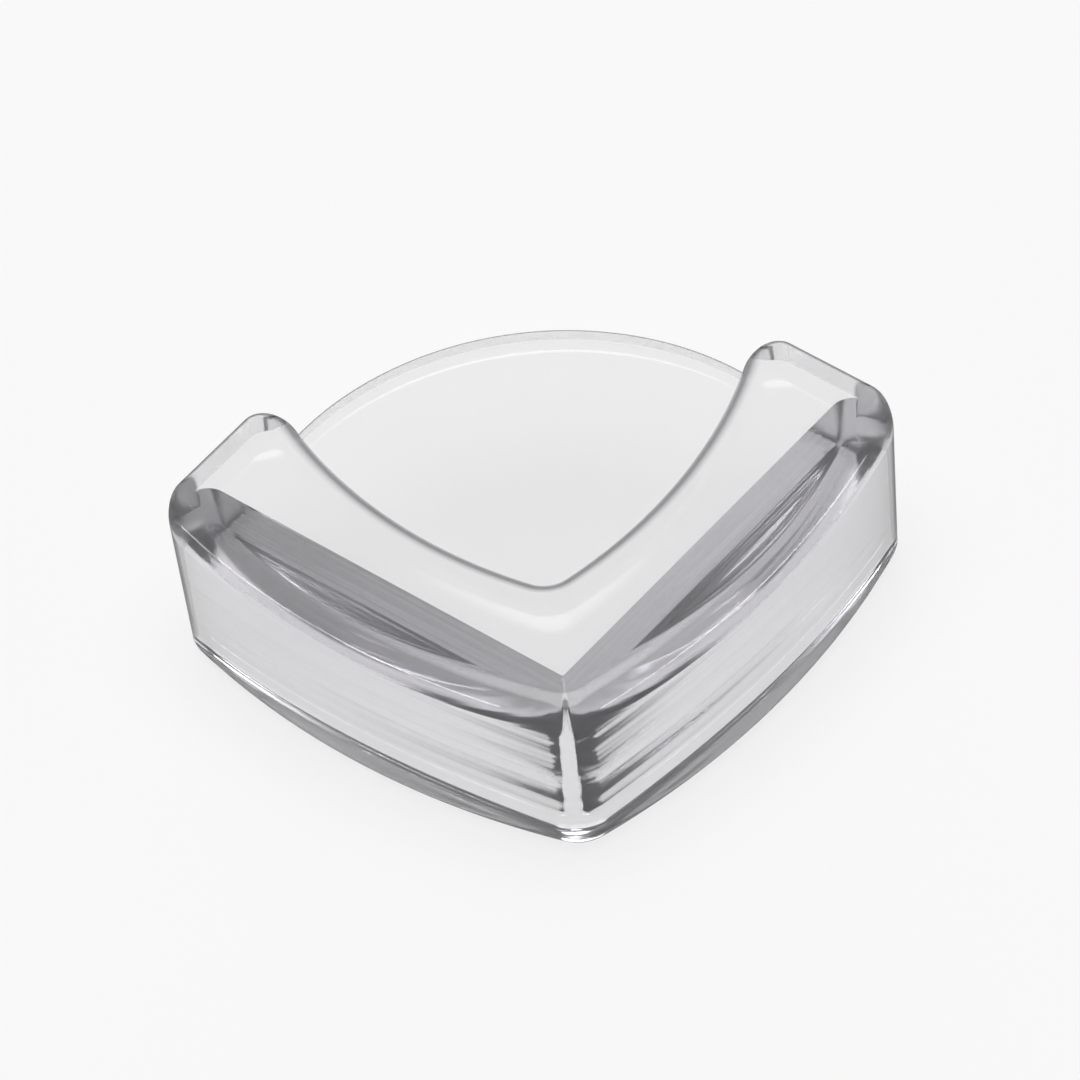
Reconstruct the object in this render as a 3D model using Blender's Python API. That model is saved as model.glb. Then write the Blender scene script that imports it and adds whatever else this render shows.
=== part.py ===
"""Clear moulded corner protector for the corner of a table or a shelf.

It is one soft, clear moulding. A bowed wall hangs over both edges of the table's corner, a thick band
on top of the wall rests on the table top, and a thin rounded leaf fills the inside of the band.
It is modelled with the wall's inner corner at the origin, the arms along +X and +Y and the table top
at Z 0, and then moved so that it stands on the ground with its box centred there.
"""
import bmesh
import bpy
from collections import namedtuple
from math import asin, atan2, cos, pi, sin, sqrt

MM = 0.001

# Length of each arm, from the wall's inner corner to the arm's end face.
ARM_LENGTH = 36.5 * MM

# The bowed wall: its thickness at three places along an arm, how far it hangs below the table top, and
# how much its outer face leans in from top to bottom.
WALL_AT_CORNER = 6.4 * MM
WALL_AT_MIDDLE = 8.5 * MM
WALL_AT_TIP = 5.7 * MM
WALL_DROP = 12.0 * MM
WALL_DRAFT = 0.5 * MM

# The band: how far it reaches over the table top at three places, and its thickness.
LEDGE_AT_CORNER = 5.7 * MM
LEDGE_AT_MIDDLE = 4.6 * MM
LEDGE_AT_TIP = 9.4 * MM
BAND_THICKNESS = 5.0 * MM

# The leaf: part of a disc whose centre lies on the diagonal, this far in from both walls.
LEAF_CENTRE = 8.8 * MM
LEAF_RADIUS = 24.7 * MM
LEAF_THICKNESS = 2.4 * MM
LEAF_EDGE_RADIUS = 0.4 * MM

# Corner radii, seen from above.
CORNER_RADIUS = 4.1 * MM
TIP_OUTER_RADIUS = 3.8 * MM
TIP_INNER_RADIUS = 2.5 * MM
LEDGE_CORNER_RADIUS = 2.0 * MM
WALL_END_RADIUS = 1.9 * MM
POCKET_CORNER_RADIUS = 0.2 * MM

# Edge radii, seen from the side.
TOP_EDGE_RADIUS = 2.6 * MM
BOTTOM_EDGE_RADIUS = 1.9 * MM
INNER_BOTTOM_RADIUS = 1.7 * MM
END_EDGE_RADIUS = 0.8 * MM
STEP_EDGE_RADIUS = 2.3 * MM

# An edge radius stays this share of the corner or step that it runs round.
EDGE_SHARE = 0.9

# Length of a facet along the long curves, angle of a facet on the round corners, rows in a round edge.
CURVE_FACET = 1.6 * MM
CORNER_FACET = pi / 16
EDGE_ROWS = 7

# How far a blank or a cutter runs past what it trims.
OVERSHOOT = 3.0 * MM

DIAGONAL = -0.75 * pi

# Where the round on a wall's end stops short of the end face's own direction.
END_BREAK = pi / 15

Circle = namedtuple("Circle", "x y radius")
Edge = namedtuple("Edge", "top bottom")
Rim = namedtuple("Rim", "x y out_x out_y top bottom")


def clear_scene():
    for item in list(bpy.data.objects):
        bpy.data.objects.remove(item, do_unlink=True)


def circle_through(a, b, c):
    """The circle through three points."""
    (ax, ay), (bx, by), (cx, cy) = a, b, c
    a2 = ax * ax + ay * ay
    b2 = bx * bx + by * by
    c2 = cx * cx + cy * cy
    d = 2.0 * (ax * (by - cy) + bx * (cy - ay) + cx * (ay - by))
    x = (a2 * (by - cy) + b2 * (cy - ay) + c2 * (ay - by)) / d
    y = (a2 * (cx - bx) + b2 * (ax - cx) + c2 * (bx - ax)) / d
    return Circle(x, y, sqrt((ax - x) ** 2 + (ay - y) ** 2))


def outer_circle():
    """The arc of the wall's outer face along the X arm."""
    return circle_through(
        (0.0, -WALL_AT_CORNER), (0.5 * ARM_LENGTH, -WALL_AT_MIDDLE), (ARM_LENGTH, -WALL_AT_TIP)
    )


def ledge_circle():
    """The arc of the band's inner edge along the X arm."""
    middle = 0.5 * (LEDGE_AT_CORNER + ARM_LENGTH)
    return circle_through(
        (LEDGE_AT_CORNER, LEDGE_AT_CORNER), (middle, LEDGE_AT_MIDDLE), (ARM_LENGTH, LEDGE_AT_TIP)
    )


def corner_in_tip(side, radius, reach):
    """The corner circle that touches the arm's end face and lies at a reach from a side's centre."""
    x = ARM_LENGTH - radius
    return Circle(x, side.y - sqrt(reach ** 2 - (x - side.x) ** 2), radius)


def corner_on_diagonal(side, radius):
    """The corner circle on the diagonal that touches the inside of a side's arc."""
    middle = 0.5 * (side.x + side.y)
    reach = side.radius - radius
    place = middle - sqrt(0.5 * reach ** 2 - 0.25 * (side.x - side.y) ** 2)
    return Circle(place, place, radius)


def heading(start, end):
    """Direction from one circle's centre to another's."""
    return atan2(end.y - start.y, end.x - start.x)


def arc(circle, start, end, first, last, facet, side=1.0):
    """Rim points along an arc, whose edge radii blend from the first to the last.

    The side is 1 where the solid lies inside the circle, and -1 where it lies outside."""
    count = max(2, round(abs(end - start) / facet))
    points = []
    for i in range(count + 1):
        share = i / count
        blend = share * share * (3.0 - 2.0 * share)
        angle = start + (end - start) * share
        points.append(Rim(
            circle.x + circle.radius * cos(angle),
            circle.y + circle.radius * sin(angle),
            side * cos(angle),
            side * sin(angle),
            first.top + (last.top - first.top) * blend,
            first.bottom + (last.bottom - first.bottom) * blend,
        ))
    return points


def joined(*stretches):
    """One run of points from stretches that share their end points."""
    run = list(stretches[0])
    for stretch in stretches[1:]:
        same = abs(run[-1].x - stretch[0].x) + abs(run[-1].y - stretch[0].y) < 1e-7
        run += stretch[1:] if same else stretch
    return run


def mirrored(points):
    """The same points on the other side of the diagonal, in the opposite order."""
    return [Rim(p.y, p.x, p.out_y, p.out_x, p.top, p.bottom) for p in reversed(points)]


def bumper_outline():
    """Outline of the wall and the band from above, from the outer corner round the X arm and back."""
    outer = outer_circle()
    ledge = ledge_circle()
    corner = corner_on_diagonal(outer, CORNER_RADIUS)
    ledge_corner = corner_on_diagonal(ledge, LEDGE_CORNER_RADIUS)
    tip_outer = corner_in_tip(outer, TIP_OUTER_RADIUS, outer.radius - TIP_OUTER_RADIUS)
    tip_inner = corner_in_tip(ledge, TIP_INNER_RADIUS, ledge.radius + TIP_INNER_RADIUS)

    step_radius = min(STEP_EDGE_RADIUS, EDGE_SHARE * (BAND_THICKNESS - LEAF_THICKNESS))
    side_edge = Edge(TOP_EDGE_RADIUS, BOTTOM_EDGE_RADIUS)
    side_edge_at_tip = Edge(
        min(TOP_EDGE_RADIUS, EDGE_SHARE * TIP_OUTER_RADIUS),
        min(BOTTOM_EDGE_RADIUS, EDGE_SHARE * TIP_OUTER_RADIUS),
    )
    end_edge = Edge(END_EDGE_RADIUS, END_EDGE_RADIUS)
    step_edge = Edge(step_radius, END_EDGE_RADIUS)
    step_edge_at_tip = Edge(min(step_radius, EDGE_SHARE * TIP_INNER_RADIUS), END_EDGE_RADIUS)

    from_outer = heading(outer, corner)
    to_outer = heading(outer, tip_outer)
    from_ledge = heading(ledge, tip_inner)
    to_ledge = heading(ledge, ledge_corner)
    arm = joined(
        arc(corner, DIAGONAL, from_outer, side_edge, side_edge, CORNER_FACET),
        arc(outer, from_outer, to_outer, side_edge, side_edge_at_tip, CURVE_FACET / outer.radius),
        arc(tip_outer, to_outer, 0.0, side_edge_at_tip, end_edge, CORNER_FACET),
        arc(tip_inner, 0.0, heading(tip_inner, ledge), end_edge, step_edge_at_tip, CORNER_FACET),
        arc(ledge, from_ledge, to_ledge, step_edge_at_tip, step_edge, CURVE_FACET / ledge.radius, -1.0),
        arc(ledge_corner, to_ledge, DIAGONAL, step_edge, step_edge, CORNER_FACET, -1.0),
    )
    return joined(arm, mirrored(arm))[:-1]


def leaf_outline():
    """Outline of the leaf's blank, which runs into the band on both sides."""
    disc = Circle(LEAF_CENTRE, LEAF_CENTRE, LEAF_RADIUS)
    edge = Edge(LEAF_EDGE_RADIUS, LEAF_EDGE_RADIUS)
    root = 0.5 * min(LEDGE_AT_CORNER, LEDGE_AT_MIDDLE)
    past = asin((LEAF_CENTRE - root) / LEAF_RADIUS)
    rim = arc(disc, -past, 0.5 * pi + past, edge, edge, CURVE_FACET / LEAF_RADIUS)
    return rim + [Rim(root, root, cos(DIAGONAL), sin(DIAGONAL), edge.top, edge.bottom)]


def pocket_outline():
    """Outline of the table's corner from above, opened round the wall's ends."""
    reach = max(ARM_LENGTH, LEAF_CENTRE + LEAF_RADIUS) + OVERSHOOT
    limit = EDGE_SHARE * WALL_END_RADIUS
    wall_edge = Edge(0.0, min(INNER_BOTTOM_RADIUS, limit))
    end_edge = Edge(0.0, min(END_EDGE_RADIUS, limit))
    corner = Circle(POCKET_CORNER_RADIUS, POCKET_CORNER_RADIUS, POCKET_CORNER_RADIUS)
    end = Circle(ARM_LENGTH - WALL_END_RADIUS, -WALL_END_RADIUS, WALL_END_RADIUS)
    round_end = arc(end, 0.5 * pi, END_BREAK, wall_edge, end_edge, CORNER_FACET, -1.0)
    last = round_end[-1]
    past = Rim(reach, last.y, last.out_x, last.out_y, last.top, last.bottom)
    far = Rim(reach, reach, 0.0, 0.0, last.top, last.bottom)
    arm = arc(corner, DIAGONAL, -0.5 * pi, wall_edge, wall_edge, CORNER_FACET) + round_end + [past]
    return arm + [far] + mirrored(arm)[:-1]


def edge_ring(outline, face, inward, upright, draft=0.0):
    """One level of a rounded edge: points moved inward and up from a face by shares of their radii."""
    return [
        (
            p.x - p.out_x * (inward * radius + draft),
            p.y - p.out_y * (inward * radius + draft),
            face + upright * radius,
        )
        for p, radius in outline
    ]


def rounded_slab(name, outline, bottom, top, draft=0.0):
    """A closed slab from an outline, whose lower and upper edges are rounded by each point's radii."""
    lower = [(p, p.bottom) for p in outline]
    upper = [(p, p.top) for p in outline]
    turns = [0.5 * pi * row / EDGE_ROWS for row in range(EDGE_ROWS + 1)]
    levels = [edge_ring(lower, bottom, 1.0 - sin(turn), 1.0 - cos(turn), draft) for turn in turns]
    levels += [edge_ring(upper, top, 1.0 - cos(turn), sin(turn) - 1.0) for turn in turns]
    return stacked(name, levels)


def flared_plug(name, outline, bottom, top):
    """A closed plug whose lower end flares out, so that what it cuts has a rounded lower edge."""
    lower = [(p, p.bottom) for p in outline]
    upper = [(p, 0.0) for p in outline]
    turns = [0.5 * pi * row / EDGE_ROWS for row in range(EDGE_ROWS + 1)]
    levels = [edge_ring(lower, bottom - OVERSHOOT, -1.0, 0.0)]
    levels += [edge_ring(lower, bottom, sin(turn) - 1.0, 1.0 - cos(turn)) for turn in turns]
    levels += [edge_ring(upper, top, 0.0, 0.0)]
    return stacked(name, levels)


def stacked(name, levels):
    """A closed solid from rings of points, lowest first."""
    bm = bmesh.new()
    rings = [[bm.verts.new(point) for point in level] for level in levels]
    count = len(rings[0])
    for low, high in zip(rings, rings[1:]):
        for i in range(count):
            j = (i + 1) % count
            bm.faces.new((low[i], low[j], high[j], high[i]))
    bm.faces.new(reversed(rings[0]))
    bm.faces.new(rings[-1])
    bmesh.ops.recalc_face_normals(bm, faces=bm.faces)
    return add_object(name, bm)


def add_object(name, bm):
    mesh = bpy.data.meshes.new(name)
    bm.to_mesh(mesh)
    bm.free()
    item = bpy.data.objects.new(name, mesh)
    bpy.context.scene.collection.objects.link(item)
    return item


def combine(item, other, operation):
    """Adds the other solid to an item, or cuts it away, and removes the other."""
    boolean = item.modifiers.new(operation.lower(), "BOOLEAN")
    boolean.operation = operation
    boolean.solver = "EXACT"
    boolean.object = other
    evaluated = item.evaluated_get(bpy.context.evaluated_depsgraph_get())
    mesh = bpy.data.meshes.new_from_object(evaluated)
    item.modifiers.clear()
    item.data = mesh
    bpy.data.objects.remove(other, do_unlink=True)


def clear_plastic():
    """Clear, slightly grey, glossy soft plastic."""
    material = bpy.data.materials.new("clear_plastic")
    material.use_nodes = True
    shader = material.node_tree.nodes["Principled BSDF"]
    shader.inputs["Base Color"].default_value = (0.93, 0.93, 0.94, 1.0)
    shader.inputs["Roughness"].default_value = 0.04
    shader.inputs["Metallic"].default_value = 0.0
    shader.inputs["IOR"].default_value = 1.5
    shader.inputs["Transmission Weight"].default_value = 1.0
    return material


def corner_protector():
    """The moulding: the wall and band in one, with the leaf added and the table's corner cut away."""
    outline = bumper_outline()
    protector = rounded_slab("corner_protector", outline, -WALL_DROP, BAND_THICKNESS, WALL_DRAFT)
    leaf = rounded_slab("leaf_blank", leaf_outline(), -OVERSHOOT, LEAF_THICKNESS)
    combine(protector, leaf, "UNION")
    pocket = flared_plug("table_corner", pocket_outline(), -WALL_DROP, 0.0)
    combine(protector, pocket, "DIFFERENCE")

    protector.data.materials.clear()
    protector.data.materials.append(clear_plastic())
    protector.data.shade_smooth()
    protector.data.set_sharp_from_angle(angle=pi / 6)

    outer = outer_circle()
    bow = outer.radius - outer.y
    centre = 0.5 * (ARM_LENGTH - bow)
    protector.location = (-centre, -centre, WALL_DROP)
    return protector


clear_scene()
corner_protector()
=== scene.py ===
"""The look of the clear corner protector: a fine mesh of the moulding, its clear plastic and a studio."""
from collections import namedtuple
from math import asin, atan2, cos, pi, radians, sin, sqrt

import bmesh
import bpy
from mathutils import Matrix, Vector


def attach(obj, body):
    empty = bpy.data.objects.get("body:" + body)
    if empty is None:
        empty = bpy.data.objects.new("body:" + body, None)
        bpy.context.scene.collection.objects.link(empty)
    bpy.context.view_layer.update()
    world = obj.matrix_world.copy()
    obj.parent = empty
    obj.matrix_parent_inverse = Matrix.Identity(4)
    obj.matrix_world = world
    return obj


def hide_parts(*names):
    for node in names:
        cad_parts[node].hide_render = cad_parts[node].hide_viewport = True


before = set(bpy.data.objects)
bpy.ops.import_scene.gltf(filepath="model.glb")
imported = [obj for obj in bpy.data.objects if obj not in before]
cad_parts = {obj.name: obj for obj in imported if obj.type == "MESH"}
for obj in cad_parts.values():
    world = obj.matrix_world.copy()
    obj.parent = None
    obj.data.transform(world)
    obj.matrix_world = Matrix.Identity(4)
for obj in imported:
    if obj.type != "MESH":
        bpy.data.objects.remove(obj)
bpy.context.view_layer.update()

MM = 0.001

# The moulding's sizes, the same as the solid's.
ARM_LENGTH = 36.5 * MM
WALL_AT_CORNER = 6.4 * MM
WALL_AT_MIDDLE = 8.5 * MM
WALL_AT_TIP = 5.7 * MM
WALL_DROP = 12.0 * MM
WALL_DRAFT = 0.5 * MM
LEDGE_AT_CORNER = 5.7 * MM
LEDGE_AT_MIDDLE = 4.6 * MM
LEDGE_AT_TIP = 9.4 * MM
BAND_THICKNESS = 5.0 * MM
LEAF_CENTRE = 8.8 * MM
LEAF_RADIUS = 24.7 * MM
LEAF_THICKNESS = 2.4 * MM
LEAF_EDGE_RADIUS = 0.4 * MM
CORNER_RADIUS = 4.1 * MM
TIP_OUTER_RADIUS = 3.8 * MM
TIP_INNER_RADIUS = 2.5 * MM
LEDGE_CORNER_RADIUS = 2.0 * MM
WALL_END_RADIUS = 1.9 * MM
POCKET_CORNER_RADIUS = 0.2 * MM
TOP_EDGE_RADIUS = 2.6 * MM
BOTTOM_EDGE_RADIUS = 1.9 * MM
INNER_BOTTOM_RADIUS = 1.7 * MM
END_EDGE_RADIUS = 0.8 * MM
STEP_EDGE_RADIUS = 2.3 * MM
EDGE_SHARE = 0.9

# Fineness of the look's mesh.
CURVE_FACET = 0.5 * MM
CORNER_FACET = pi / 64
EDGE_ROWS = 20

# How far a blank runs past what it is joined to or cut from, the direction of the outer corner, and the
# angle at which the rounding inside a wall end stops and runs straight out.
OVERSHOOT = 3.0 * MM
DIAGONAL = -0.75 * pi
END_BREAK = pi / 15
SAME_POINT = 0.0001 * MM
SHARP_ANGLE = pi / 6

# Where the photograph was taken from.
CAMERA_TARGET = Vector((0.0, 0.0, 8.5 * MM))
CAMERA_AZIMUTH = radians(-46.4)
CAMERA_ELEVATION = radians(47.6)
CAMERA_ROLL = radians(6.95)
CAMERA_DISTANCE = 1.0
CAMERA_LENS = 420.0
CAMERA_CLIP_START = 0.05

# How far the normals of marked faces lean, from -1, down, to 1, up.
UPRIGHT_LEAN = 0.05
UNDERSIDE_LEAN = -0.99
END_LEAN = 0.9
RIM_LEAN = (0.02, 0.99)
MARK_SLACK = 0.01 * MM

# The plastic.
PLASTIC_IOR = 1.5
PLASTIC_TRANSMISSION = 0.95
CLEAR_TINT = (0.99, 0.99, 0.99, 1.0)
# The colour of the painted shade on the outside's turned-away sides and rims, and at the wall's ends.
PAINTED_SHADE_COLOUR = (0.15, 0.15, 0.16, 1.0)
BODY_TINT = (0.55, 0.53, 0.6, 1.0)
BODY_DENSITY = 30.0
OUTER_ROUGHNESS = 0.02
DULL_ROUGHNESS = 0.1
END_ROUGHNESS = 0.22
# How much painted shade greys the wall's ends.
END_PAINTED_SHADE = 0.35
FLOW_LINE_HEIGHT = 0.18 * MM
FLOW_LINE_SCALE = (16.0, 16.0, 500.0)
FLOW_LINE_DETAIL = 1.5
OUTER_FLOW_SHARE = 0.012

# From where to where painted shade darkens the outside as it turns away: on its sides, and on its fine
# rims.
SIDE_FACING = (0.62, 0.85)
RIM_FACING = (0.3, 0.6)

# The floor, the shade on it under the wall from left to right, and how far from the object it glows.
FLOOR_SIZE = 6.0
FLOOR_GAP = 0.05 * MM
FLOOR_COLOUR = (0.93, 0.93, 0.93, 1.0)
FLOOR_ROUGHNESS = 0.7
GROUND_GLOW = (0.945, 0.945, 0.945, 1.0)
GROUND_SHARE = 0.8
SHADE_REACH = 1.8 * MM
SHADE_SPAN = (-22.0 * MM, 22.0 * MM)
SHADE_DEPTH = (0.68, 0.3)
GLOW_SPAN = (12.0 * MM, 35.0 * MM)

# How bright the room is at heights from 0, level, to 1, overhead: all round it, and on its far side.
ROOM_ROUND = [(0.0, 0.09), (0.3, 0.1), (0.86, 0.12), (0.93, 4.0), (1.0, 4.0)]
ROOM_FAR = [(0.0, 0.09), (0.3, 0.1), (0.68, 0.3), (0.86, 0.3), (0.93, 4.0), (1.0, 4.0)]

# From where to where the room's sides turn into its far side, from 0, beside, to 1, straight ahead.
FAR_SIDE = (0.3, 0.55)

Circle = namedtuple("Circle", "x y radius")
Edge = namedtuple("Edge", "top bottom")
Rim = namedtuple("Rim", "x y out_x out_y top bottom")
Lamp = namedtuple("Lamp", "azimuth elevation size power")

# The lamps. An azimuth is measured from the camera's, to its right.
LAMP_DISTANCE = 1.0
BACK_LAMP = Lamp(radians(180.0), radians(19.0), (0.8, 0.2), 1.5)
LEFT_LAMP = Lamp(radians(-72.0), radians(12.0), (0.8, 0.08), 1.4)
RIGHT_LAMP = Lamp(radians(72.0), radians(12.0), (0.8, 0.08), 1.4)


# The form.

def circle_through(a, b, c):
    """The circle through three points."""
    (ax, ay), (bx, by), (cx, cy) = a, b, c
    a2 = ax * ax + ay * ay
    b2 = bx * bx + by * by
    c2 = cx * cx + cy * cy
    d = 2.0 * (ax * (by - cy) + bx * (cy - ay) + cx * (ay - by))
    x = (a2 * (by - cy) + b2 * (cy - ay) + c2 * (ay - by)) / d
    y = (a2 * (cx - bx) + b2 * (ax - cx) + c2 * (bx - ax)) / d
    return Circle(x, y, sqrt((ax - x) ** 2 + (ay - y) ** 2))


def outer_circle():
    """The arc of the wall's outer face along the X arm."""
    return circle_through(
        (0.0, -WALL_AT_CORNER), (0.5 * ARM_LENGTH, -WALL_AT_MIDDLE), (ARM_LENGTH, -WALL_AT_TIP)
    )


def ledge_circle():
    """The arc of the band's inner edge along the X arm."""
    middle = 0.5 * (LEDGE_AT_CORNER + ARM_LENGTH)
    return circle_through(
        (LEDGE_AT_CORNER, LEDGE_AT_CORNER), (middle, LEDGE_AT_MIDDLE), (ARM_LENGTH, LEDGE_AT_TIP)
    )


def corner_in_tip(side, radius, reach):
    """The corner circle that touches the arm's end face and lies at a reach from a side's centre."""
    x = ARM_LENGTH - radius
    return Circle(x, side.y - sqrt(reach ** 2 - (x - side.x) ** 2), radius)


def corner_on_diagonal(side, radius):
    """The corner circle on the diagonal that touches the inside of a side's arc."""
    middle = 0.5 * (side.x + side.y)
    reach = side.radius - radius
    place = middle - sqrt(0.5 * reach ** 2 - 0.25 * (side.x - side.y) ** 2)
    return Circle(place, place, radius)


def heading(start, end):
    """Direction from one circle's centre to another's."""
    return atan2(end.y - start.y, end.x - start.x)


def arc(circle, start, end, first, last, facet, side=1.0):
    """Rim points along an arc, whose edge radii blend from the first to the last.

    The side is 1 where the solid lies inside the circle, and -1 where it lies outside."""
    count = max(2, round(abs(end - start) / facet))
    points = []
    for i in range(count + 1):
        share = i / count
        blend = share * share * (3.0 - 2.0 * share)
        angle = start + (end - start) * share
        points.append(Rim(
            circle.x + circle.radius * cos(angle),
            circle.y + circle.radius * sin(angle),
            side * cos(angle),
            side * sin(angle),
            first.top + (last.top - first.top) * blend,
            first.bottom + (last.bottom - first.bottom) * blend,
        ))
    return points


def joined(*stretches):
    """One run of points from stretches that share their end points."""
    run = list(stretches[0])
    for stretch in stretches[1:]:
        same = abs(run[-1].x - stretch[0].x) + abs(run[-1].y - stretch[0].y) < SAME_POINT
        run += stretch[1:] if same else stretch
    return run


def mirrored(points):
    """The same points on the other side of the diagonal, in the opposite order."""
    return [Rim(p.y, p.x, p.out_y, p.out_x, p.top, p.bottom) for p in reversed(points)]


def bumper_outline():
    """Outline of the wall and the band from above, from the outer corner round the X arm and back."""
    outer = outer_circle()
    ledge = ledge_circle()
    corner = corner_on_diagonal(outer, CORNER_RADIUS)
    ledge_corner = corner_on_diagonal(ledge, LEDGE_CORNER_RADIUS)
    tip_outer = corner_in_tip(outer, TIP_OUTER_RADIUS, outer.radius - TIP_OUTER_RADIUS)
    tip_inner = corner_in_tip(ledge, TIP_INNER_RADIUS, ledge.radius + TIP_INNER_RADIUS)

    step_radius = min(STEP_EDGE_RADIUS, EDGE_SHARE * (BAND_THICKNESS - LEAF_THICKNESS))
    side_edge = Edge(TOP_EDGE_RADIUS, BOTTOM_EDGE_RADIUS)
    side_edge_at_tip = Edge(
        min(TOP_EDGE_RADIUS, EDGE_SHARE * TIP_OUTER_RADIUS),
        min(BOTTOM_EDGE_RADIUS, EDGE_SHARE * TIP_OUTER_RADIUS),
    )
    end_edge = Edge(END_EDGE_RADIUS, END_EDGE_RADIUS)
    step_edge = Edge(step_radius, END_EDGE_RADIUS)
    step_edge_at_tip = Edge(min(step_radius, EDGE_SHARE * TIP_INNER_RADIUS), END_EDGE_RADIUS)

    from_outer = heading(outer, corner)
    to_outer = heading(outer, tip_outer)
    from_ledge = heading(ledge, tip_inner)
    to_ledge = heading(ledge, ledge_corner)
    arm = joined(
        arc(corner, DIAGONAL, from_outer, side_edge, side_edge, CORNER_FACET),
        arc(outer, from_outer, to_outer, side_edge, side_edge_at_tip, CURVE_FACET / outer.radius),
        arc(tip_outer, to_outer, 0.0, side_edge_at_tip, end_edge, CORNER_FACET),
        arc(tip_inner, 0.0, heading(tip_inner, ledge), end_edge, step_edge_at_tip, CORNER_FACET),
        arc(ledge, from_ledge, to_ledge, step_edge_at_tip, step_edge, CURVE_FACET / ledge.radius, -1.0),
        arc(ledge_corner, to_ledge, DIAGONAL, step_edge, step_edge, CORNER_FACET, -1.0),
    )
    return joined(arm, mirrored(arm))[:-1]


def leaf_outline():
    """Outline of the leaf's blank, which runs into the band on both sides."""
    disc = Circle(LEAF_CENTRE, LEAF_CENTRE, LEAF_RADIUS)
    edge = Edge(LEAF_EDGE_RADIUS, LEAF_EDGE_RADIUS)
    root = 0.5 * min(LEDGE_AT_CORNER, LEDGE_AT_MIDDLE)
    past = asin((LEAF_CENTRE - root) / LEAF_RADIUS)
    rim = arc(disc, -past, 0.5 * pi + past, edge, edge, CURVE_FACET / LEAF_RADIUS)
    return rim + [Rim(root, root, cos(DIAGONAL), sin(DIAGONAL), edge.top, edge.bottom)]


def pocket_outline():
    """Outline of the table's corner from above, opened round the wall's ends."""
    reach = max(ARM_LENGTH, LEAF_CENTRE + LEAF_RADIUS) + OVERSHOOT
    limit = EDGE_SHARE * WALL_END_RADIUS
    wall_edge = Edge(0.0, min(INNER_BOTTOM_RADIUS, limit))
    end_edge = Edge(0.0, min(END_EDGE_RADIUS, limit))
    corner = Circle(POCKET_CORNER_RADIUS, POCKET_CORNER_RADIUS, POCKET_CORNER_RADIUS)
    end = Circle(ARM_LENGTH - WALL_END_RADIUS, -WALL_END_RADIUS, WALL_END_RADIUS)
    round_end = arc(end, 0.5 * pi, END_BREAK, wall_edge, end_edge, CORNER_FACET, -1.0)
    last = round_end[-1]
    past = Rim(reach, last.y, last.out_x, last.out_y, last.top, last.bottom)
    far = Rim(reach, reach, 0.0, 0.0, last.top, last.bottom)
    arm = arc(corner, DIAGONAL, -0.5 * pi, wall_edge, wall_edge, CORNER_FACET) + round_end + [past]
    return arm + [far] + mirrored(arm)[:-1]


def edge_ring(outline, face, inward, upright, draft=0.0):
    """One level of a rounded edge: points moved inward and up from a face by shares of their radii."""
    return [
        (
            p.x - p.out_x * (inward * radius + draft),
            p.y - p.out_y * (inward * radius + draft),
            face + upright * radius,
        )
        for p, radius in outline
    ]


def rounded_slab(name, outline, bottom, top, draft=0.0):
    """A closed slab from an outline, whose lower and upper edges are rounded by each point's radii."""
    lower = [(p, p.bottom) for p in outline]
    upper = [(p, p.top) for p in outline]
    turns = [0.5 * pi * row / EDGE_ROWS for row in range(EDGE_ROWS + 1)]
    levels = [edge_ring(lower, bottom, 1.0 - sin(turn), 1.0 - cos(turn), draft) for turn in turns]
    levels += [edge_ring(upper, top, 1.0 - cos(turn), sin(turn) - 1.0) for turn in turns]
    return stacked(name, levels)


def flared_plug(name, outline, bottom, top):
    """A closed plug whose lower end flares out, so that what it cuts has a rounded lower edge."""
    lower = [(p, p.bottom) for p in outline]
    upper = [(p, 0.0) for p in outline]
    turns = [0.5 * pi * row / EDGE_ROWS for row in range(EDGE_ROWS + 1)]
    levels = [edge_ring(lower, bottom - OVERSHOOT, -1.0, 0.0)]
    levels += [edge_ring(lower, bottom, sin(turn) - 1.0, 1.0 - cos(turn)) for turn in turns]
    levels += [edge_ring(upper, top, 0.0, 0.0)]
    return stacked(name, levels)


def stacked(name, levels):
    """A closed solid from rings of points, lowest first."""
    bm = bmesh.new()
    rings = [[bm.verts.new(point) for point in level] for level in levels]
    count = len(rings[0])
    for low, high in zip(rings, rings[1:]):
        for i in range(count):
            j = (i + 1) % count
            bm.faces.new((low[i], low[j], high[j], high[i]))
    bm.faces.new(reversed(rings[0]))
    bm.faces.new(rings[-1])
    bmesh.ops.recalc_face_normals(bm, faces=bm.faces)
    return add_object(name, bm)


def add_object(name, bm):
    """A new object in the scene, with the mesh that was built."""
    mesh = bpy.data.meshes.new(name)
    bm.to_mesh(mesh)
    bm.free()
    item = bpy.data.objects.new(name, mesh)
    bpy.context.scene.collection.objects.link(item)
    return item


def applied(item):
    """Gives an item the mesh that its modifiers make of it."""
    evaluated = item.evaluated_get(bpy.context.evaluated_depsgraph_get())
    mesh = bpy.data.meshes.new_from_object(evaluated)
    item.modifiers.clear()
    item.data = mesh


def combine(item, other, operation):
    """Adds the other solid to an item, or cuts it away, and removes the other."""
    boolean = item.modifiers.new(operation.lower(), "BOOLEAN")
    boolean.operation = operation
    boolean.solver = "EXACT"
    boolean.object = other
    applied(item)
    bpy.data.objects.remove(other, do_unlink=True)


def drawing_centre():
    """Where the middle of the part's box lies on each arm, measured from the pocket's corner."""
    outer = outer_circle()
    return 0.5 * (ARM_LENGTH - (outer.radius - outer.y))


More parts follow.
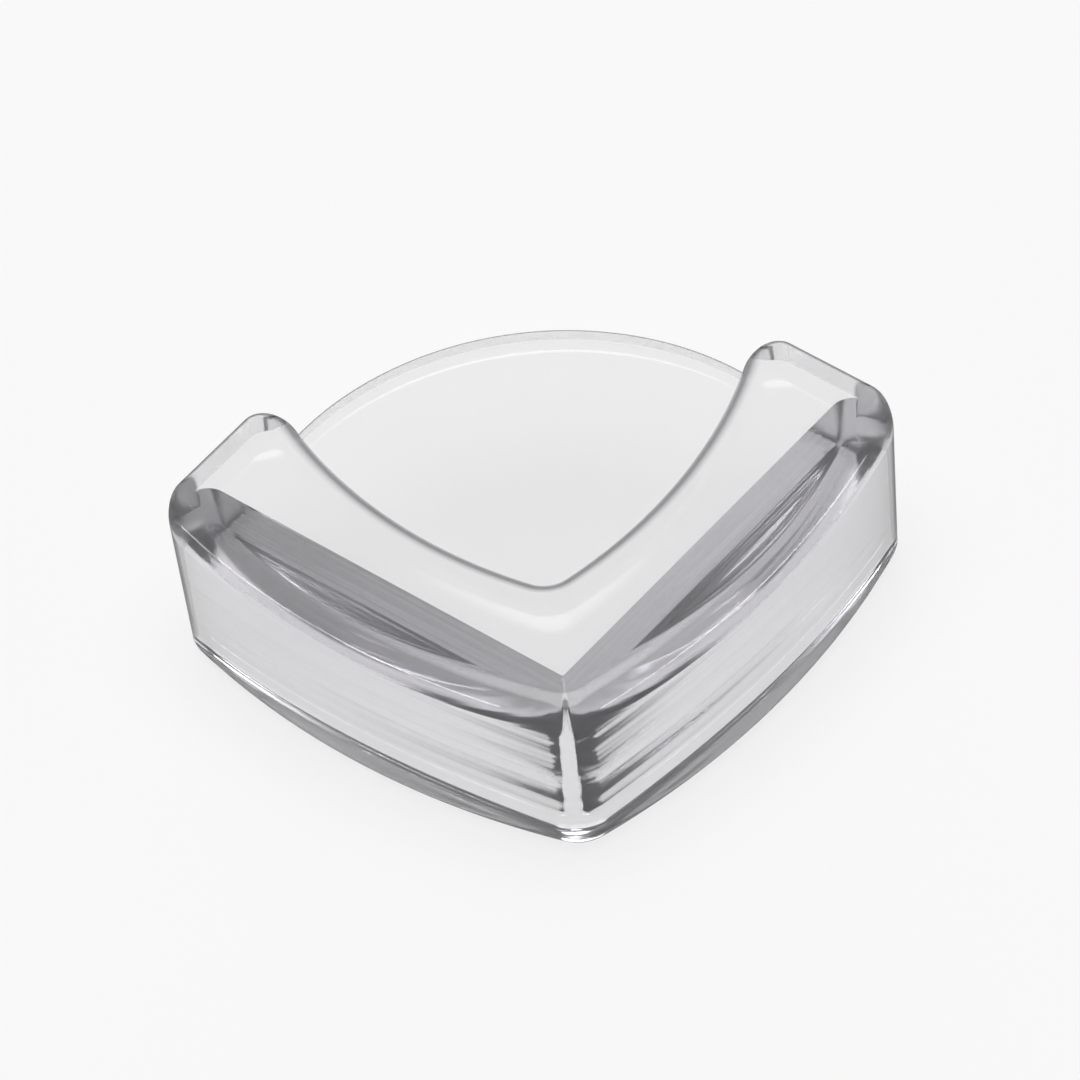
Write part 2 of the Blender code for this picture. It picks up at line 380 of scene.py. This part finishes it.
def moulding():
    """The moulding: the wall and band in one, with the leaf added and the table's corner cut away."""
    piece = rounded_slab("clear_moulding", bumper_outline(), -WALL_DROP, BAND_THICKNESS, WALL_DRAFT)
    leaf = rounded_slab("leaf_blank", leaf_outline(), -OVERSHOOT, LEAF_THICKNESS)
    combine(piece, leaf, "UNION")
    pocket = flared_plug("table_corner", pocket_outline(), -WALL_DROP, 0.0)
    combine(piece, pocket, "DIFFERENCE")

    centre = drawing_centre()
    piece.data.transform(Matrix.Translation((-centre, -centre, WALL_DROP)))
    piece.data.shade_smooth()
    piece.data.set_sharp_from_angle(angle=SHARP_ANGLE)
    mark_faces(piece.data, centre)
    weighted = piece.modifiers.new("weighted", "WEIGHTED_NORMAL")
    weighted.keep_sharp = True
    return piece


def mark_faces(mesh, centre):
    """Gives the faces their roughness, share of painted shade and share of flow lines, and marks the fine
    rims.
    """
    roughness = mesh.attributes.new("roughness", "FLOAT", "FACE")
    painted_shade = mesh.attributes.new("painted_shade", "FLOAT", "FACE")
    flow = mesh.attributes.new("flow", "FLOAT", "FACE")
    rim = mesh.attributes.new("rim", "FLOAT", "FACE")
    marks = zip(mesh.polygons, roughness.data, painted_shade.data, flow.data, rim.data)
    for face, rough, painted_end_shade, lined, fine in marks:
        x = face.center.x + centre
        y = face.center.y + centre
        z = face.center.z - WALL_DROP
        up = face.normal.z
        in_pocket = min(x, y) > -MARK_SLACK and z < MARK_SLACK
        upright = in_pocket and abs(up) < UPRIGHT_LEAN
        in_end = max(x, y) > ARM_LENGTH - WALL_END_RADIUS and min(x, y) < 0.0
        over_table = min(x, y) > 0.0 and z > 0.0
        rough.value = OUTER_ROUGHNESS
        if upright or up < UNDERSIDE_LEAN:
            rough.value = DULL_ROUGHNESS
        if in_end and up < END_LEAN:
            rough.value = END_ROUGHNESS
            # Painted shade greys the wall's ends.
            painted_end_shade.value = END_PAINTED_SHADE
        lined.value = 1.0 if upright else OUTER_FLOW_SHARE
        fine.value = 1.0 if over_table and RIM_LEAN[0] < up < RIM_LEAN[1] else 0.0


# Materials.

def node(tree, kind, **values):
    """A new node with the settings given."""
    item = tree.nodes.new(kind)
    for name, value in values.items():
        setattr(item, name, value)
    return item


def put(tree, value, socket):
    """Gives a socket a value, or the output of another node."""
    if isinstance(value, bpy.types.NodeSocket):
        tree.links.new(value, socket)
    else:
        socket.default_value = value


def reckon(tree, operation, *values, clamp=False):
    """The result of a math node on numbers and other nodes' outputs."""
    item = node(tree, "ShaderNodeMath", operation=operation, use_clamp=clamp)
    for value, socket in zip(values, item.inputs):
        put(tree, value, socket)
    return item.outputs[0]


def ranged(tree, value, span, levels=(0.0, 1.0), kind="LINEAR"):
    """A value carried over from a span to a pair of levels, and held at them beyond it."""
    item = node(tree, "ShaderNodeMapRange", interpolation_type=kind)
    for given, socket in zip((value, *span, *levels), item.inputs):
        put(tree, given, socket)
    return item.outputs[0]


def marked(tree, name):
    """The value that the mesh's faces carry under a name."""
    return node(tree, "ShaderNodeAttribute", attribute_name=name).outputs["Fac"]


def clear_plastic():
    """Clear soft plastic: glossy outside, duller in the pocket and at the wall's ends, with flow lines and
    painted shade.
    """
    material = bpy.data.materials.new("clear_plastic")
    material.use_nodes = True
    tree = material.node_tree
    shader = tree.nodes["Principled BSDF"]
    shader.inputs["Metallic"].default_value = 0.0
    shader.inputs["Roughness"].default_value = OUTER_ROUGHNESS
    shader.inputs["IOR"].default_value = PLASTIC_IOR
    shader.inputs["Transmission Weight"].default_value = PLASTIC_TRANSMISSION
    tree.links.new(marked(tree, "roughness"), shader.inputs["Roughness"])

    # Painted shade: the base colour darkens where the outside turns away, sooner on the fine rims, to draw
    # dark outlines.
    facing = node(tree, "ShaderNodeLayerWeight")
    facing.inputs["Blend"].default_value = 0.5
    side = node(tree, "ShaderNodeNewGeometry")
    rim = marked(tree, "rim")
    span = [ranged(tree, rim, (0.0, 1.0), limits) for limits in zip(SIDE_FACING, RIM_FACING)]
    steep = ranged(tree, facing.outputs["Facing"], span, kind="SMOOTHSTEP")
    outside = reckon(tree, "SUBTRACT", 1.0, side.outputs["Backfacing"])
    painted_shade = node(tree, "ShaderNodeMix", data_type="RGBA")
    painted_shade.inputs["A"].default_value = CLEAR_TINT
    painted_shade.inputs["B"].default_value = PAINTED_SHADE_COLOUR
    dark = reckon(tree, "MULTIPLY", steep, outside)
    # The painted shade at the wall's ends joins that of the turned-away sides.
    tree.links.new(reckon(tree, "MAXIMUM", dark, marked(tree, "painted_shade")), painted_shade.inputs["Factor"])
    tree.links.new(painted_shade.outputs["Result"], shader.inputs["Base Color"])

    # Flow lines: noise drawn out along the arms, so that upright faces show fine level streaks.
    place = node(tree, "ShaderNodeTexCoord")
    stretch = node(tree, "ShaderNodeMapping")
    stretch.inputs["Scale"].default_value = FLOW_LINE_SCALE
    lines = node(tree, "ShaderNodeTexNoise")
    lines.inputs["Scale"].default_value = 1.0
    lines.inputs["Detail"].default_value = FLOW_LINE_DETAIL
    bump = node(tree, "ShaderNodeBump")
    bump.inputs["Strength"].default_value = 1.0
    bump.inputs["Distance"].default_value = FLOW_LINE_HEIGHT
    tree.links.new(place.outputs["Object"], stretch.inputs["Vector"])
    tree.links.new(stretch.outputs["Vector"], lines.inputs["Vector"])
    height = reckon(tree, "MULTIPLY", lines.outputs["Fac"], marked(tree, "flow"))
    tree.links.new(height, bump.inputs["Height"])
    tree.links.new(bump.outputs["Normal"], shader.inputs["Normal"])

    # The body takes up a little light on the way through.
    body = node(tree, "ShaderNodeVolumeAbsorption")
    body.inputs["Color"].default_value = BODY_TINT
    body.inputs["Density"].default_value = BODY_DENSITY
    tree.links.new(body.outputs["Volume"], tree.nodes["Material Output"].inputs["Volume"])
    return material


def under_wall(tree, place):
    """How far a floor point lies under the wall: 1 below the wall's flat underside, 0 clear of its foot."""
    outer = outer_circle()
    centre = drawing_centre()
    split = node(tree, "ShaderNodeSeparateXYZ")
    tree.links.new(place.outputs["Object"], split.inputs[0])
    in_pocket = reckon(tree, "MINIMUM", split.outputs["X"], split.outputs["Y"])
    inside = reckon(tree, "SUBTRACT", -centre - INNER_BOTTOM_RADIUS, in_pocket)
    along = reckon(tree, "MAXIMUM", split.outputs["X"], split.outputs["Y"])
    before_end = reckon(tree, "SUBTRACT", ARM_LENGTH - END_EDGE_RADIUS - centre, along)
    inside = reckon(tree, "MINIMUM", inside, before_end)
    for x, y in ((outer.x, outer.y), (outer.y, outer.x)):
        away = node(tree, "ShaderNodeVectorMath", operation="DISTANCE")
        away.inputs[1].default_value = (x - centre, y - centre, 0.0)
        tree.links.new(place.outputs["Object"], away.inputs[0])
        within = reckon(tree, "SUBTRACT", outer.radius - BOTTOM_EDGE_RADIUS, away.outputs["Value"])
        inside = reckon(tree, "MINIMUM", inside, within)
    return ranged(tree, inside, (-SHADE_REACH, 0.0), kind="SMOOTHSTEP")


def pale_floor():
    """A matt white floor. Seen through the plastic it is darker under the wall, most of all on the left,
    as in the photograph. Seen in a reflection, only the part round the object glows."""
    material = bpy.data.materials.new("pale_floor")
    material.use_nodes = True
    tree = material.node_tree
    matt = tree.nodes["Principled BSDF"]
    matt.inputs["Base Color"].default_value = FLOOR_COLOUR
    matt.inputs["Roughness"].default_value = FLOOR_ROUGHNESS
    matt.inputs["Specular IOR Level"].default_value = 0.0
    path = node(tree, "ShaderNodeLightPath")
    place = node(tree, "ShaderNodeTexCoord")

    turned = node(tree, "ShaderNodeMapping")
    turned.inputs["Rotation"].default_value = (0.0, 0.0, -CAMERA_AZIMUTH)
    across = node(tree, "ShaderNodeSeparateXYZ")
    tree.links.new(place.outputs["Object"], turned.inputs["Vector"])
    tree.links.new(turned.outputs["Vector"], across.inputs[0])
    depth = ranged(tree, across.outputs["X"], SHADE_SPAN, SHADE_DEPTH)
    shade = reckon(tree, "MULTIPLY", under_wall(tree, place), depth)
    seen_shade = reckon(tree, "MULTIPLY", shade, path.outputs["Is Transmission Ray"])

    away = node(tree, "ShaderNodeVectorMath", operation="LENGTH")
    tree.links.new(place.outputs["Object"], away.inputs[0])
    fade = ranged(tree, away.outputs["Value"], GLOW_SPAN, kind="SMOOTHSTEP")
    mirrored_ray = reckon(
        tree, "SUBTRACT", path.outputs["Is Glossy Ray"], path.outputs["Is Transmission Ray"], clamp=True
    )
    seen_fade = reckon(tree, "MULTIPLY", fade, mirrored_ray)

    ground = node(tree, "ShaderNodeEmission")
    ground.inputs["Color"].default_value = GROUND_GLOW
    glow = reckon(tree, "SUBTRACT", 1.0, reckon(tree, "ADD", seen_shade, seen_fade))
    tree.links.new(glow, ground.inputs["Strength"])
    mix = node(tree, "ShaderNodeMixShader")
    mix.inputs[0].default_value = GROUND_SHARE
    tree.links.new(matt.outputs[0], mix.inputs[1])
    tree.links.new(ground.outputs[0], mix.inputs[2])
    tree.links.new(mix.outputs[0], tree.nodes["Material Output"].inputs["Surface"])
    return material


# The studio.

def area_light(name, lamp):
    """A soft lamp that looks at the object."""
    turn = CAMERA_AZIMUTH + lamp.azimuth
    level = LAMP_DISTANCE * cos(lamp.elevation)
    place = Vector((sin(turn) * level, -cos(turn) * level, LAMP_DISTANCE * sin(lamp.elevation)))
    light = bpy.data.lights.new(name, "AREA")
    light.shape = "RECTANGLE"
    light.size, light.size_y = lamp.size
    light.energy = lamp.power
    item = bpy.data.objects.new(name, light)
    item.location = place
    item.rotation_euler = (CAMERA_TARGET - place).to_track_quat("-Z", "Y").to_euler()
    bpy.context.scene.collection.objects.link(item)
    return item


def level_ramp(tree, levels):
    """A grey ramp from pairs of a height and a level."""
    ramp = node(tree, "ShaderNodeValToRGB")
    stops = ramp.color_ramp.elements
    for stop, (height, level) in zip((stops[0], stops[1]), (levels[0], levels[-1])):
        stop.position, stop.color = height, (level, level, level, 1.0)
    for height, level in levels[1:-1]:
        stops.new(height).color = (level, level, level, 1.0)
    return ramp


def surroundings():
    """The studio room: dark low down and at the sides, grey on the far side, and bright overhead."""
    world = bpy.data.worlds.new("studio")
    world.use_nodes = True
    tree = world.node_tree
    place = node(tree, "ShaderNodeTexCoord")
    turned = node(tree, "ShaderNodeMapping")
    turned.inputs["Rotation"].default_value = (0.0, 0.0, -CAMERA_AZIMUTH)
    split = node(tree, "ShaderNodeSeparateXYZ")
    blend = node(tree, "ShaderNodeMix", data_type="RGBA")
    tree.links.new(place.outputs["Generated"], turned.inputs["Vector"])
    tree.links.new(turned.outputs["Vector"], split.inputs[0])
    far = ranged(tree, split.outputs["Y"], FAR_SIDE, kind="SMOOTHSTEP")
    tree.links.new(far, blend.inputs["Factor"])
    for levels, socket in ((ROOM_ROUND, "A"), (ROOM_FAR, "B")):
        ramp = level_ramp(tree, levels)
        tree.links.new(split.outputs["Z"], ramp.inputs[0])
        tree.links.new(ramp.outputs[0], blend.inputs[socket])
    tree.links.new(blend.outputs["Result"], tree.nodes["Background"].inputs[0])
    bpy.context.scene.world = world


def camera():
    """The camera at the photograph's viewing angle, turned about its own axis as the photograph is."""
    lens = bpy.data.cameras.new("camera")
    lens.lens = CAMERA_LENS
    lens.clip_start = CAMERA_CLIP_START
    item = bpy.data.objects.new("camera", lens)
    level = cos(CAMERA_ELEVATION)
    back = Vector((sin(CAMERA_AZIMUTH) * level, -cos(CAMERA_AZIMUTH) * level, sin(CAMERA_ELEVATION)))
    right = Vector((0.0, 0.0, 1.0)).cross(back).normalized()
    up = back.cross(right)
    turned_right = right * cos(CAMERA_ROLL) - up * sin(CAMERA_ROLL)
    turned_up = up * cos(CAMERA_ROLL) + right * sin(CAMERA_ROLL)
    turn = Matrix((turned_right, turned_up, back)).transposed().to_4x4()
    item.matrix_world = Matrix.Translation(CAMERA_TARGET + CAMERA_DISTANCE * back) @ turn
    bpy.context.scene.collection.objects.link(item)
    bpy.context.scene.camera = item


def studio():
    """The floor, the room, the lamps and the camera."""
    bpy.ops.mesh.primitive_plane_add(size=FLOOR_SIZE, location=(0.0, 0.0, -FLOOR_GAP))
    floor = bpy.context.object
    floor.name = "studio_floor"
    floor.data.materials.append(pale_floor())
    surroundings()
    back = area_light("back", BACK_LAMP)
    back.visible_glossy = False
    area_light("left", LEFT_LAMP)
    area_light("right", RIGHT_LAMP)
    camera()
    bpy.context.scene.view_settings.view_transform = "Standard"


piece = moulding()
piece.data.materials.clear()
piece.data.materials.append(clear_plastic())
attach(piece, "root")
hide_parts("corner_protector")
studio()
